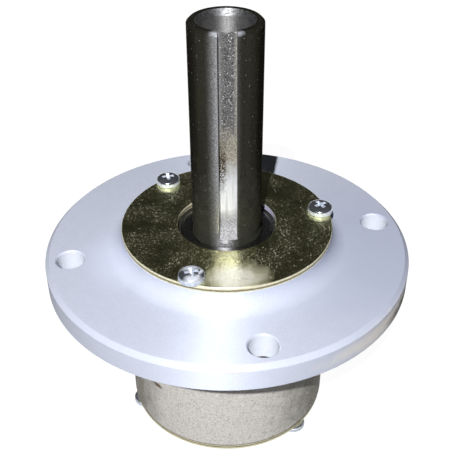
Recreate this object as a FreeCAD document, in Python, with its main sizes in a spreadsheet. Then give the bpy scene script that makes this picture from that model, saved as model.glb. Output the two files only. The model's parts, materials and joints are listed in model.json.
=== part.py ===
import FreeCAD, Part
import math
import os
from types import SimpleNamespace

import Sketcher

# Mower deck spindle: a flanged hub casting, a sealed ball bearing in each of its ends,
# a retainer plate with three screws over each bearing, and a hollow keyed shaft.
# Origin: on the shaft's axis, in the plane of the flange's underside, which bolts to the deck.
# +Z points up along the shaft. All lengths are in millimetres and angles in degrees.

SIZES = (
    # deck flange
    ("bolt_circle_dia", 117.5, "circle of the deck bolts"),
    ("bolt_hole_dia", 10.3, "clearance for a 3/8 inch bolt"),
    ("bolt_hole_chamfer", 0.5, "both mouths of a bolt hole"),
    ("bolt_count", 4, "deck bolts"),
    ("bolt_edge_distance", 9.25, "from the bolt circle to the flange's rim"),
    ("flange_thickness", 9.7, "deck seat to the flange's top face"),
    ("flange_top_chamfer", 1.6, "upper edge of the rim"),
    ("flange_bottom_chamfer", 0.15, "lower edge of the rim"),
    # boss and hub
    ("boss_rise", 6.4, "boss top above the flange's top face"),
    ("boss_land", 0.4, "straight wall between the boss top and the cove"),
    ("hub_wall", 13.4, "metal round a bearing"),
    ("hub_drop", 61.0, "hub's bottom face below the deck seat"),
    ("hub_fillet", 3.0, "root of the hub under the flange"),
    ("hub_edge_break", 0.5, "lower outer edge of the hub"),
    ("cavity_step", 4.5, "shoulder behind a bearing"),
    ("seat_chamfer", 0.6, "mouth of a bearing seat"),
    ("seat_clearance", 0.03, "bearing seat over the outer ring, radial"),
    # bearings
    ("bearing_outer_dia", 52.0, "outer ring"),
    ("bearing_width", 15.0, "both rings"),
    ("ball_dia", 7.94, "5/16 inch"),
    ("race_clearance", 0.06, "groove over the ball, radial"),
    ("land_share", 0.58, "ring land's distance from the ball circle, in ball radii"),
    ("ring_corner", 0.8, "corners that meet the shaft and the seat"),
    ("ring_edge", 0.3, "other corners of the inner ring"),
    ("ball_count", 9, "balls in a bearing"),
    ("cage_gap", 0.7, "cage to the ring lands, radial"),
    ("cage_pocket_clearance", 0.12, "pocket over the ball, radial"),
    ("cage_seal_gap", 0.6, "cage to the seal under it"),
    ("cage_prong_share", 0.6, "height of the cage's prongs, in ball radii"),
    ("seal_thickness", 1.5, "rubber seal"),
    ("seal_recess", 0.4, "seal's face below the rings' faces"),
    ("seal_step", 1.4, "width of the ledge that a seal lies on"),
    ("seal_fit", 0.05, "seal in the outer ring, radial"),
    ("seal_gap", 0.15, "seal's lip to the inner ring, radial"),
    ("seal_lip_width", 1.3, "raised lip round the inner edge"),
    ("seal_rim_width", 1.0, "raised rim round the outer edge"),
    ("seal_dish", 0.4, "depth between lip and rim"),
    ("spacer_wall", 3.6, "tube between the inner rings"),
    ("spacer_chamfer", 0.5, "ends of that tube"),
    ("shaft_fit", 0.02, "rings and spacer on the shaft, radial"),
    # retainer plates
    ("plate_thickness", 2.3, "sheet"),
    ("plate_inset", 0.25, "plate's edge inside the hub's"),
    ("plate_hole_margin", 1.35, "plate's hole over the inner ring, radial"),
    ("plate_edge_break", 0.25, "edges of the sheet"),
    # retainer screws
    ("screw_edge_distance", 3.15, "screw's axis to the plate's edge"),
    ("screw_count", 3, "screws in a plate"),
    ("upper_screw_turn", 0.9, "upper screws short of a bolt hole's direction"),
    ("lower_screw_turn", 5.5, "lower screws past a bolt hole's direction"),
    ("screw_dia", 4.8, "shank"),
    ("screw_clearance", 0.05, "holes over the shank, radial"),
    ("screw_length", 12.7, "under the head"),
    ("screw_tip_chamfer", 0.7, "end of the shank"),
    ("screw_tip_room", 2.0, "drilled past the screw's end"),
    ("screw_head_dia", 9.4, "pan head"),
    ("screw_head_height", 3.0, "pan head"),
    ("screw_head_side", 1.0, "straight side of the head"),
    ("screw_crown_dia", 4.8, "flat top of the head"),
    ("screw_head_round", 2.8, "curve from the side to the top"),
    ("recess_length", 5.0, "each slot of the cross recess"),
    ("recess_width", 1.1, "each slot of the cross recess"),
    ("recess_depth", 1.7, "cross recess"),
    # shaft
    ("shaft_dia", 25.4, "one inch"),
    ("shaft_bore_dia", 16.2, "clearance for a 5/8 inch blade bolt"),
    ("shaft_rise", 78.0, "top end above the upper plate"),
    ("shaft_end_drop", 8.0, "blade seat below the lower plate"),
    ("shaft_top_chamfer", 0.9, "outer edge of the top end"),
    ("mouth_chamfer", 1.9, "bore's edge at the top end"),
    ("bore_end_chamfer", 1.0, "bore's edge at the blade seat"),
    ("shoulder_width", 3.8, "shoulder under the lower inner ring"),
    ("shoulder_fillet", 0.5, "root of that shoulder"),
    ("shoulder_chamfer", 1.0, "lower edge of that shoulder"),
    ("relief_depth", 0.25, "groove between the bearing seat and the pulley's seat"),
    ("relief_over_plate", 0.3, "that groove's upper end above the plate"),
    ("keyway_width", 6.35, "1/4 inch"),
    ("keyway_depth", 3.58, "from the shaft's outside"),
    ("keyway_stop", 9.1, "end of the flat floor above the upper bearing"),
    ("keyway_cutter_radius", 8.0, "run-out of the floor"),
    ("keyway_angle", -98.7, "keyway's turn from +X"),
)

DRILL_TIP_SHARE = 0.6
TOP_EDGE_SHARE = 0.45
MOUTH_EDGE_SHARE = 0.5
CUT_MARGIN = 2.0
HALF_TURN = 180.0
FULL_TURN = 360.0


class Size:
    """A length with its value now and the sheet formula that it follows."""

    def __init__(self, value, formula):
        self.value = value
        self.formula = formula

    def __add__(self, other):
        return Size(self.value + other.value, f"({self.formula} + {other.formula})")

    def __sub__(self, other):
        return Size(self.value - other.value, f"({self.formula} - {other.formula})")

    def __mul__(self, other):
        return Size(self.value * other.value, f"({self.formula} * {other.formula})")

    def __neg__(self):
        return Size(-self.value, f"(0 - {self.formula})")

    def half(self):
        return Size(self.value / 2, f"({self.formula} / 2)")

    def share(self, part):
        return Size(self.value * part, f"({self.formula} * {part})")

    def at_most(self, other):
        return Size(min(self.value, other.value), f"min({self.formula}; {other.formula})")


doc = FreeCAD.newDocument("mower_deck_spindle")


def fill_sheet():
    """The sheet of driving sizes, and each size by its name."""
    sheet = doc.addObject("Spreadsheet::Sheet", "Sizes")
    named = {}
    for row, (name, value, note) in enumerate(SIZES, start=1):
        sheet.set(f"A{row}", name)
        sheet.set(f"B{row}", str(value))
        sheet.set(f"C{row}", note)
        sheet.setAlias(f"B{row}", name)
        named[name] = Size(float(value), f"Sizes.{name}")
    doc.recompute()
    return SimpleNamespace(**named)


size = fill_sheet()

# Radii and heights that several pieces share.
margin = Size(CUT_MARGIN, str(CUT_MARGIN))
on_axis = Size(0.0, "0")
seat_plane = Size(0.0, "0")

shaft_r = size.shaft_dia.half()
bore_r = size.shaft_bore_dia.half()
bearing_r = size.bearing_outer_dia.half()
ball_circle_r = (bearing_r + shaft_r).half()
ball_r = size.ball_dia.half()
inner_land_r = ball_circle_r - ball_r * size.land_share
outer_land_r = ball_circle_r + ball_r * size.land_share
seal_seat_r = outer_land_r + size.seal_step
bearing_half = size.bearing_width.half()
seal_floor = bearing_half - size.seal_recess - size.seal_thickness

hub_r = bearing_r + size.hub_wall
plate_r = hub_r - size.plate_inset
plate_hole_r = inner_land_r + size.plate_hole_margin
screw_circle_r = plate_r - size.screw_edge_distance
screw_hole_r = size.screw_dia.half() + size.screw_clearance
bolt_circle_r = size.bolt_circle_dia.half()
flange_r = bolt_circle_r + size.bolt_edge_distance

boss_top = size.flange_thickness + size.boss_rise
hub_bottom = -size.hub_drop
upper_plate_top = boss_top + size.plate_thickness
lower_plate_bottom = hub_bottom - size.plate_thickness
shaft_top = upper_plate_top + size.shaft_rise
shaft_end = lower_plate_bottom - size.shaft_end_drop


def origin_part(body, role):
    """A plane or an axis of a body's own origin, found by its role."""
    return next(part for part in body.Origin.OriginFeatures if part.Role == role)


def arc_between(start, end, radius, clockwise):
    """The shorter arc of a given radius from one point to another."""
    run = end - start
    middle = (start + end) * 0.5
    to_left = FreeCAD.Vector(-run.y, run.x, 0).normalize()
    reach = math.sqrt(max(radius ** 2 - (run.Length / 2) ** 2, 0.0))
    centre = middle + to_left * (-reach if clockwise else reach)
    first, last = (end, start) if clockwise else (start, end)
    angles = [math.atan2(point.y - centre.y, point.x - centre.x) for point in (first, last)]
    return Part.ArcOfCircle(Part.Circle(centre, FreeCAD.Vector(0, 0, 1), radius), *angles)


def hollow(radius):
    """A side that curves into the material."""
    return SimpleNamespace(radius=radius, clockwise=True)


def rounded(radius):
    """A side that bulges out of the material."""
    return SimpleNamespace(radius=radius, clockwise=False)


def outline_sketch(body, name, corners, across=None, turn=None):
    """A closed outline in the body's XZ plane, every corner tied to its sizes.

    A corner is (radius, height), and the corners go round counter-clockwise. A third entry, hollow
    or rounded, makes the side that leaves the corner an arc. The sketch's upright axis stands at the
    distance across from the body's axis, moved round it by the angle turn if there is one.
    """
    sketch = body.newObject("Sketcher::SketchObject", name)
    sketch.AttachmentSupport = [(origin_part(body, "XZ_Plane"), "")]
    sketch.MapMode = "FlatFace"
    if turn is not None:
        sketch.setExpression("AttachmentOffset.Base.x", f"{across.formula} * cos({turn.formula})")
        sketch.setExpression("AttachmentOffset.Base.z", f"-{across.formula} * sin({turn.formula})")
    elif across is not None:
        sketch.setExpression("AttachmentOffset.Base.x", across.formula)
    points = [FreeCAD.Vector(corner[0].value, corner[1].value, 0) for corner in corners]
    start_ends = []
    for index, corner in enumerate(corners):
        start = points[index]
        end = points[(index + 1) % len(points)]
        if len(corner) == 3:
            bend = corner[2]
            sketch.addGeometry(arc_between(start, end, bend.radius.value, bend.clockwise), False)
            start_ends.append((2, 1) if bend.clockwise else (1, 2))
        else:
            sketch.addGeometry(Part.LineSegment(start, end), False)
            start_ends.append((1, 2))
    for index, corner in enumerate(corners):
        after = (index + 1) % len(corners)
        start_end, far_end = start_ends[index]
        sketch.addConstraint(
            Sketcher.Constraint("Coincident", index, far_end, after, start_ends[after][0]))
        if corner[0] is on_axis:
            sketch.addConstraint(Sketcher.Constraint("PointOnObject", index, start_end, -2))
        else:
            tie(sketch, Sketcher.Constraint(
                "DistanceX", -1, 1, index, start_end, corner[0].value), corner[0])
        tie(sketch, Sketcher.Constraint(
            "DistanceY", -1, 1, index, start_end, corner[1].value), corner[1])
        if len(corner) == 3:
            radius = corner[2].radius
            tie(sketch, Sketcher.Constraint("Radius", index, radius.value), radius)
    return sketch


def tie(sketch, constraint, length):
    """Add a constraint whose value follows the sheet."""
    number = sketch.addConstraint(constraint)
    sketch.setExpression(f"Constraints[{number}]", length.formula)


def new_body(name):
    body = doc.addObject("PartDesign::Body", name)
    body.Label = name
    return body


def turned(body, corners, across=None):
    """Material turned about the sketch's upright axis."""
    sketch = outline_sketch(body, f"{body.Name}_outline", corners, across)
    feature = body.newObject("PartDesign::Revolution", f"{body.Name}_turned")
    feature.Profile = sketch
    feature.ReferenceAxis = (sketch, ["V_Axis"])
    feature.Angle = FULL_TURN
    doc.recompute()
    return feature


def pattern_round(body, feature, count):
    """Repeat a feature, or the whole body if feature is None, evenly about the body's axis."""
    pattern = body.newObject("PartDesign::PolarPattern", f"{body.Name}_pattern")
    if feature is None:
        pattern.TransformMode = "Whole shape"
    else:
        pattern.Originals = [feature]
    pattern.Axis = (origin_part(body, "Z_Axis"), [""])
    pattern.Angle = FULL_TURN
    pattern.setExpression("Occurrences", count.formula)
    body.Tip = pattern
    doc.recompute()
    return pattern


def drilled(body, name, corners, across, count, turn=None):
    """Round holes with the section given by corners, spaced evenly about the body's axis."""
    before = body.Shape.Volume
    sketch = outline_sketch(body, f"{body.Name}_{name}_outline", corners, across, turn)
    hole = body.newObject("PartDesign::Groove", f"{body.Name}_{name}")
    hole.Profile = sketch
    hole.ReferenceAxis = (sketch, ["V_Axis"])
    hole.Angle = FULL_TURN
    doc.recompute()
    pattern_round(body, hole, count)
    if body.Shape.Volume >= before:
        raise RuntimeError(f"{name} removed nothing from {body.Label}")


def place(body, height, half_turn_about=None):
    """Set a body at a height, turned over about X or Y if asked."""
    if half_turn_about is not None:
        body.Placement = FreeCAD.Placement(
            FreeCAD.Vector(), FreeCAD.Rotation(half_turn_about, HALF_TURN))
    body.setExpression("Placement.Base.z", height.formula)


def place_on_hub(body, height, turned_over):
    """Set a plate or its screws on an end of the hub, turned round, and over on the lower end."""
    if turned_over:
        place(body, height, FreeCAD.Vector(0, 1, 0))
        half_way = size.lower_screw_turn.half().formula
        body.setExpression("Placement.Rotation.Axis.x", f"-sin({half_way})")
        body.setExpression("Placement.Rotation.Axis.y", f"cos({half_way})")
    else:
        place(body, height)
        body.setExpression("Placement.Rotation.Angle", (-size.upper_screw_turn).formula)


def make_housing():
    """The casting: flange, boss with its cove, hub, bearing seats and the room between them."""
    body = new_body("spindle_housing")
    seat_r = bearing_r + size.seat_clearance
    mouth_r = seat_r + size.seat_chamfer
    cavity_r = bearing_r - size.cavity_step
    cove_r = size.boss_rise - size.boss_land
    upper_shoulder = boss_top - size.bearing_width
    lower_shoulder = hub_bottom + size.bearing_width
    turned(body, (
        (mouth_r, hub_bottom),
        (hub_r - size.hub_edge_break, hub_bottom),
        (hub_r, hub_bottom + size.hub_edge_break),
        (hub_r, -size.hub_fillet, hollow(size.hub_fillet)),
        (hub_r + size.hub_fillet, seat_plane),
        (flange_r - size.flange_bottom_chamfer, seat_plane),
        (flange_r, size.flange_bottom_chamfer),
        (flange_r, size.flange_thickness - size.flange_top_chamfer),
        (flange_r - size.flange_top_chamfer, size.flange_thickness),
        (plate_r + cove_r, size.flange_thickness, hollow(cove_r)),
        (plate_r, size.flange_thickness + cove_r),
        (plate_r, boss_top),
        (mouth_r, boss_top),
        (seat_r, boss_top - size.seat_chamfer),
        (seat_r, upper_shoulder),
        (cavity_r, upper_shoulder),
        (cavity_r, lower_shoulder),
        (seat_r, lower_shoulder),
        (seat_r, hub_bottom + size.seat_chamfer),
    ))
    bolt_r = size.bolt_hole_dia.half()
    wide_r = bolt_r + size.bolt_hole_chamfer
    drilled(body, "bolt_hole", (
        (on_axis, seat_plane - margin),
        (wide_r, seat_plane - margin),
        (wide_r, seat_plane),
        (bolt_r, size.bolt_hole_chamfer),
        (bolt_r, size.flange_thickness - size.bolt_hole_chamfer),
        (wide_r, size.flange_thickness),
        (wide_r, boss_top + margin),
        (on_axis, boss_top + margin),
    ), bolt_circle_r, size.bolt_count)
    depth = size.screw_length - size.plate_thickness + size.screw_tip_room
    tip = screw_hole_r.share(DRILL_TIP_SHARE)
    drilled(body, "upper_screw_hole", (
        (on_axis, boss_top - depth - tip),
        (screw_hole_r, boss_top - depth),
        (screw_hole_r, boss_top + margin),
        (on_axis, boss_top + margin),
    ), screw_circle_r, size.screw_count, -size.upper_screw_turn)
    drilled(body, "lower_screw_hole", (
        (on_axis, hub_bottom - margin),
        (screw_hole_r, hub_bottom - margin),
        (screw_hole_r, hub_bottom + depth),
        (on_axis, hub_bottom + depth + tip),
    ), -screw_circle_r, size.screw_count, size.lower_screw_turn)
    return body


def make_plate(name, seat_height, turned_over):
    """A retainer plate, lying on the face at seat_height."""
    body = new_body(name)
    edge = size.plate_edge_break
    turned(body, (
        (plate_hole_r + edge, seat_plane),
        (plate_r - edge, seat_plane),
        (plate_r, edge),
        (plate_r, size.plate_thickness - edge),
        (plate_r - edge, size.plate_thickness),
        (plate_hole_r + edge, size.plate_thickness),
        (plate_hole_r, size.plate_thickness - edge),
        (plate_hole_r, edge),
    ))
    drilled(body, "screw_hole", (
        (on_axis, seat_plane - margin),
        (screw_hole_r, seat_plane - margin),
        (screw_hole_r, size.plate_thickness + margin),
        (on_axis, size.plate_thickness + margin),
    ), screw_circle_r, size.screw_count)
    place_on_hub(body, seat_height, turned_over)
    return body


def recess_slot(body, name, along, width):
    """One slot of a screw's cross recess, sunk into the top of the head."""
    slot = body.newObject("PartDesign::SubtractiveBox", f"{body.Name}_{name}")
    slot.AttachmentSupport = [(origin_part(body, "XY_Plane"), "")]
    slot.MapMode = "FlatFace"
    slot.setExpression("Length", along.formula)
    slot.setExpression("Width", width.formula)
    slot.setExpression("Height", (size.recess_depth + margin).formula)
    slot.setExpression("AttachmentOffset.Base.x", (screw_circle_r - along.half()).formula)
    slot.setExpression("AttachmentOffset.Base.y", (-width.half()).formula)
    slot.setExpression("AttachmentOffset.Base.z", (size.screw_head_height - size.recess_depth).formula)
    doc.recompute()
    return slot


def make_screws(name, seat_height, turned_over):
    """The pan-head screws of one plate, with their heads on the face at seat_height."""
    body = new_body(name)
    head_r = size.screw_head_dia.half()
    shank_r = size.screw_dia.half()
    tip = -size.screw_length
    turned(body, (
        (on_axis, tip),
        (shank_r - size.screw_tip_chamfer, tip),
        (shank_r, tip + size.screw_tip_chamfer),
        (shank_r, seat_plane),
        (head_r, seat_plane),
        (head_r, size.screw_head_side, rounded(size.screw_head_round)),
        (size.screw_crown_dia.half(), size.screw_head_height),
        (on_axis, size.screw_head_height),
    ), screw_circle_r)
    recess_slot(body, "slot_across", size.recess_length, size.recess_width)
    recess_slot(body, "slot_along", size.recess_width, size.recess_length)
    pattern_round(body, None, size.screw_count)
    place_on_hub(body, seat_height, turned_over)
    return body


def ball_groove(body):
    """The groove in a ring that the balls roll in."""
    groove = body.newObject("PartDesign::SubtractiveTorus", f"{body.Name}_groove")
    groove.setExpression("Radius1", ball_circle_r.formula)
    groove.setExpression("Radius2", (ball_r + size.race_clearance).formula)
    doc.recompute()


def make_outer_ring(name, centre):
    """A bearing's outer ring, with a ledge for a seal at each end."""
    body = new_body(name)
    corner = size.ring_corner
    turned(body, (
        (seal_seat_r, -bearing_half),
        (bearing_r - corner, -bearing_half),
        (bearing_r, corner - bearing_half),
        (bearing_r, bearing_half - corner),
        (bearing_r - corner, bearing_half),
        (seal_seat_r, bearing_half),
        (seal_seat_r, seal_floor),
        (outer_land_r, seal_floor),
        (outer_land_r, -seal_floor),
        (seal_seat_r, -seal_floor),
    ))
    ball_groove(body)
    place(body, centre)
    return body


def make_inner_ring(name, centre):
    """A bearing's inner ring, on the shaft."""
    body = new_body(name)
    corner = size.ring_corner
    edge = size.ring_edge
    ring_bore_r = shaft_r + size.shaft_fit
    turned(body, (
        (ring_bore_r + corner, -bearing_half),
        (inner_land_r - edge, -bearing_half),
        (inner_land_r, edge - bearing_half),
        (inner_land_r, bearing_half - edge),
        (inner_land_r - edge, bearing_half),
        (ring_bore_r + corner, bearing_half),
        (ring_bore_r, bearing_half - corner),
        (ring_bore_r, corner - bearing_half),
    ))
    ball_groove(body)
    place(body, centre)
    return body


def sphere_on_ball_circle(body, kind, radius):
    """A ball, or a ball's pocket, on the ball circle at +X."""
    sphere = body.newObject(kind, f"{body.Name}_sphere")
    sphere.AttachmentSupport = [(origin_part(body, "XY_Plane"), "")]
    sphere.MapMode = "FlatFace"
    sphere.setExpression("Radius", radius.formula)
    sphere.setExpression("AttachmentOffset.Base.x", ball_circle_r.formula)
    doc.recompute()
    return sphere


def make_balls(name, centre):
    """A bearing's balls, evenly spaced."""
    body = new_body(name)
    ball = sphere_on_ball_circle(body, "PartDesign::AdditiveSphere", ball_r)
    pattern_round(body, ball, size.ball_count)
    place(body, centre)
    return body


def make_cage(name, centre):
    """A moulded crown cage: a ring under the balls, with prongs that reach up between them."""
    body = new_body(name)
    inner = inner_land_r + size.cage_gap
    outer = outer_land_r - size.cage_gap
    base = size.cage_seal_gap - seal_floor
    prong = ball_r * size.cage_prong_share
    turned(body, ((inner, base), (outer, base), (outer, prong), (inner, prong)))
    pocket = sphere_on_ball_circle(
        body, "PartDesign::SubtractiveSphere", ball_r + size.cage_pocket_clearance)
    pattern_round(body, pocket, size.ball_count)
    place(body, centre)
    return body


def make_seal(name, floor_height, turned_over):
    """A rubber seal on its ledge in the outer ring, dished between its lip and its rim."""
    body = new_body(name)
    edge_r = seal_seat_r - size.seal_fit
    lip_r = inner_land_r + size.seal_gap
    bevel = size.seal_thickness.half()
    dish_floor = size.seal_thickness - size.seal_dish
    turned(body, (
        (lip_r, bevel),
        (lip_r + bevel, seat_plane),
        (edge_r, seat_plane),
        (edge_r, size.seal_thickness),
        (edge_r - size.seal_rim_width, size.seal_thickness),
        (edge_r - size.seal_rim_width, dish_floor),
        (lip_r + size.seal_lip_width, dish_floor),
        (lip_r + size.seal_lip_width, size.seal_thickness),
        (lip_r, size.seal_thickness),
    ))
    place(body, floor_height, FreeCAD.Vector(1, 0, 0) if turned_over else None)
    return body


def make_spacer():
    """The tube that keeps the two inner rings apart."""
    body = new_body("bearing_spacer")
    corner = size.spacer_chamfer
    inner = shaft_r + size.shaft_fit
    outer = inner + size.spacer_wall
    low = hub_bottom + size.bearing_width
    high = boss_top - size.bearing_width
    turned(body, (
        (inner, low),
        (outer - corner, low),
        (outer, low + corner),
        (outer, high - corner),
        (outer - corner, high),
        (inner, high),
    ))
    return body


def make_shaft():
    """The hollow shaft: blade seat, shoulder, bearing seat, relief groove and keyed pulley seat."""
    body = new_body("spindle_shaft")
    wall = shaft_r - bore_r
    top_chamfer = size.shaft_top_chamfer.at_most(wall.share(TOP_EDGE_SHARE))
    mouth_chamfer = size.mouth_chamfer.at_most(wall.share(MOUTH_EDGE_SHARE))
    shoulder_r = shaft_r + size.shoulder_width
    relief_r = shaft_r - size.relief_depth
    relief_top = upper_plate_top + size.relief_over_plate
    turned(body, (
        (bore_r + size.bore_end_chamfer, shaft_end),
        (shoulder_r - size.shoulder_chamfer, shaft_end),
        (shoulder_r, shaft_end + size.shoulder_chamfer),
        (shoulder_r, hub_bottom),
        (shaft_r + size.shoulder_fillet, hub_bottom, hollow(size.shoulder_fillet)),
        (shaft_r, hub_bottom + size.shoulder_fillet),
        (shaft_r, boss_top),
        (relief_r, boss_top),
        (relief_r, relief_top),
        (shaft_r, relief_top),
        (shaft_r, shaft_top - top_chamfer),
        (shaft_r - top_chamfer, shaft_top),
        (bore_r + mouth_chamfer, shaft_top),
        (bore_r, shaft_top - mouth_chamfer),
        (bore_r, shaft_end + size.bore_end_chamfer),
    ))
    before = body.Shape.Volume
    floor_r = shaft_r - size.keyway_depth
    clear_r = floor_r + size.keyway_cutter_radius
    floor_end = boss_top + size.keyway_stop
    sketch = outline_sketch(body, "keyway_outline", (
        (clear_r, shaft_top + margin),
        (floor_r, shaft_top + margin),
        (floor_r, floor_end, rounded(size.keyway_cutter_radius)),
        (clear_r, floor_end - size.keyway_cutter_radius),
    ))
    keyway = body.newObject("PartDesign::Pocket", "keyway")
    keyway.Profile = sketch
    keyway.SideType = "Symmetric"
    keyway.setExpression("Length", size.keyway_width.formula)
    doc.recompute()
    if body.Shape.Volume >= before:
        raise RuntimeError("the keyway removed nothing from the shaft")
    body.Placement.Rotation.Axis = FreeCAD.Vector(0, 0, 1)
    body.setExpression("Placement.Rotation.Angle", size.keyway_angle.formula)
    return body


def make_bearing(end, centre):
    """All the pieces of the bearing at one end of the hub."""
    return [
        make_outer_ring(f"{end}_bearing_outer_ring", centre),
        make_inner_ring(f"{end}_bearing_inner_ring", centre),
        make_balls(f"{end}_bearing_balls", centre),
        make_cage(f"{end}_bearing_cage", centre),
        make_seal(f"{end}_bearing_top_seal", centre + seal_floor, False),
        make_seal(f"{end}_bearing_bottom_seal", centre - seal_floor, True),
    ]


def make_spindle():
    nodes = [
        make_housing(),
        make_plate("upper_retainer_plate", boss_top, False),
        make_plate("lower_retainer_plate", hub_bottom, True),
        make_screws("upper_retainer_screws", upper_plate_top, False),
        make_screws("lower_retainer_screws", lower_plate_bottom, True),
    ]
    nodes += make_bearing("upper", boss_top - bearing_half)
    nodes += make_bearing("lower", hub_bottom + bearing_half)
    nodes += [make_spacer(), make_shaft()]
    doc.recompute()
    return nodes


def check(nodes):
    """Stop before anything is written if an object failed or a shape isn't sound."""
    for item in doc.Objects:
        if "Invalid" in item.State or "Error" in item.State:
            raise RuntimeError(f"{item.Label} failed: {item.State}")
    for node in nodes:
        if node.Shape.isNull() or not node.Shape.isValid() or not node.Shape.Solids:
            raise RuntimeError(f"{node.Label} has no sound solid")


def write(nodes):
    os.makedirs("parts", exist_ok=True)
    for node in nodes:
        node.Shape.exportStep(f"parts/{node.Label}.step")
        box = node.Shape.BoundBox
        print(f"{node.Label}: {len(node.Shape.Solids)} solids, {node.Shape.Volume:.0f} mm3,"
              f" z {box.ZMin:.2f} to {box.ZMax:.2f}")


spindle = make_spindle()
check(spindle)
write(spindle)
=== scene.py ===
# %% [markdown]
# # A mower deck spindle
# A spindle carries a mower's blade. A flanged aluminium hub bolts to the deck, a sealed ball bearing sits
# in each end of it, and a hollow keyed shaft turns in the two bearings. The engineering model already fixes
# every size, so this lesson loads it as a frame and builds finer pieces in its place: rounded edges, plated
# sheet, screws with a cross recess, a milled keyway. All lengths are in metres, in the frame's own axes.

# %% Load the frame
import json
import math

import bmesh
import bpy
from mathutils import Matrix, Vector


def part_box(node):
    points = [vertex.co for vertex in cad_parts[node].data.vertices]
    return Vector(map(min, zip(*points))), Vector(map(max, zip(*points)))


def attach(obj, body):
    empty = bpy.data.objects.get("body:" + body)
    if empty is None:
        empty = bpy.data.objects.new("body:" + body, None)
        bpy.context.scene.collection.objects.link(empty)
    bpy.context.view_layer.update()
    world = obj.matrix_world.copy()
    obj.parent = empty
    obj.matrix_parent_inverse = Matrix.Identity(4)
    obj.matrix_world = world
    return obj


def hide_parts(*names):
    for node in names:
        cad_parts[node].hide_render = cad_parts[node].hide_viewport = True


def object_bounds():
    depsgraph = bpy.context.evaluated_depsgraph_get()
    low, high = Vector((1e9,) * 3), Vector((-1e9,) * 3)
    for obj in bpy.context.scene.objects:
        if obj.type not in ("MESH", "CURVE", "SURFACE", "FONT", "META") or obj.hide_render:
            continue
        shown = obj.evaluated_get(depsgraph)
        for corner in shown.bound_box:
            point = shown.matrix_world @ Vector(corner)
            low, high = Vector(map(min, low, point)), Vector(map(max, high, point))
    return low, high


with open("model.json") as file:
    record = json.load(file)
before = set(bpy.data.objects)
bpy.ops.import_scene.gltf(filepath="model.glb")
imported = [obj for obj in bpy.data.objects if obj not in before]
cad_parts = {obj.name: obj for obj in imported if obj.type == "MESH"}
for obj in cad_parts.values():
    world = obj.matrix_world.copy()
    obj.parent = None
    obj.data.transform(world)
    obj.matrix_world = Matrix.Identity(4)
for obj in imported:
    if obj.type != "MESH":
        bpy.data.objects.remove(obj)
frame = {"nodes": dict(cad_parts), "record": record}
cad_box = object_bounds()

# %% [markdown]
# ## Sizes from the frame
# A piece that is drawn again has to land exactly where the old one was. So the main radii and heights that
# the frame gives are measured on its nodes and read from its list of mounts. Other sizes, such as chamfers
# and some radii and heights, are written as numbers where they are used.

# %% Measure the frame
MM = 0.001
mounts = {mount["name"]: mount for mount in frame["record"]["mounts"]}

housing_low, housing_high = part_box("spindle_housing")
plate_low, plate_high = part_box("upper_retainer_plate")
screw_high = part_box("upper_retainer_screws")[1]
shaft_low, shaft_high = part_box("spindle_shaft")
ring_low, ring_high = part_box("upper_bearing_inner_ring")
seal_low, seal_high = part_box("upper_bearing_top_seal")

FLANGE_RADIUS = housing_high.x
BOSS_TOP = housing_high.z
HUB_BOTTOM = housing_low.z
PLATE_RADIUS = plate_high.x
PLATE_THICKNESS = plate_high.z - plate_low.z
SHAFT_RADIUS = mounts["sheave_journal"]["dims"]["r_mm"] * MM
BORE_RADIUS = mounts["blade_bolt_bore"]["dims"]["r_mm"] * MM
BOLT_CIRCLE_RADIUS = mounts["deck_bolts"]["dims"]["pcd_mm"] * MM / 2
BOLT_RADIUS = mounts["deck_bolts"]["dims"]["hole_r_mm"] * MM
BOLT_COUNT = mounts["deck_bolts"]["dims"]["count"]
BEARING_WIDTH = ring_high.z - ring_low.z
print(f"flange radius {FLANGE_RADIUS:.4f}, boss top {BOSS_TOP:.4f}, shaft radius {SHAFT_RADIUS:.4f}")

# %% [markdown]
# ## Drawing turned parts
# Nearly every piece here came off a lathe, so one outline of radius and height, spun round the axis,
# describes it. Blender has a Screw modifier for this, but a mesh made directly gives control over each
# corner. A real edge is never perfectly sharp: the helper rounds each corner by its own radius, and the
# thin line of light that the rounding catches is what makes metal look real. It also lays a narrow strip of
# faces beside each rounding, so that the smooth shading of the curve doesn't bleed over the flat faces.

# %% Outline helper
ARC_STEPS = 6
RADIUS_PER_STEP = 0.5 * MM
STRIP = 0.25 * MM
LONG_RUN = 4 * STRIP


def soften(corners):
    """Turn corners of (radius, height, rounding) into a closed outline with rounded corners."""
    outline = []
    count = len(corners)
    for index, (radius, height, rounding) in enumerate(corners):
        here = Vector((radius, height))
        if rounding == 0:
            outline.append(here)
            continue
        before = Vector(corners[index - 1][:2]) - here
        after = Vector(corners[(index + 1) % count][:2]) - here
        half = before.angle(after) / 2
        setback = rounding / math.tan(half)
        centre = here + (before.normalized() + after.normalized()).normalized() * rounding / math.sin(half)
        start = here + before.normalized() * setback - centre
        end = here + after.normalized() * setback - centre
        sweep = start.angle_signed(end)
        steps = max(ARC_STEPS, int(rounding / RADIUS_PER_STEP))
        for step in range(steps + 1):
            turned = start.copy()
            turned.rotate(Matrix.Rotation(-sweep * step / steps, 2))
            outline.append(centre + turned)
    return with_strips(outline)


def with_strips(outline):
    """Add a point close to each end of every long straight run."""
    dense = []
    for index, here in enumerate(outline):
        dense.append(here)
        run = outline[(index + 1) % len(outline)] - here
        if run.length > LONG_RUN:
            dense.append(here + run.normalized() * STRIP)
            dense.append(here + run - run.normalized() * STRIP)
    return dense


print("corner arcs have at least", ARC_STEPS, "steps")

# %% Lathe helper
TURN_STEPS = 224
MERGE = 1e-7


def new_object(name, data):
    """An object that holds some data, put into the scene."""
    made = bpy.data.objects.new(name, data)
    bpy.context.scene.collection.objects.link(made)
    return made


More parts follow.
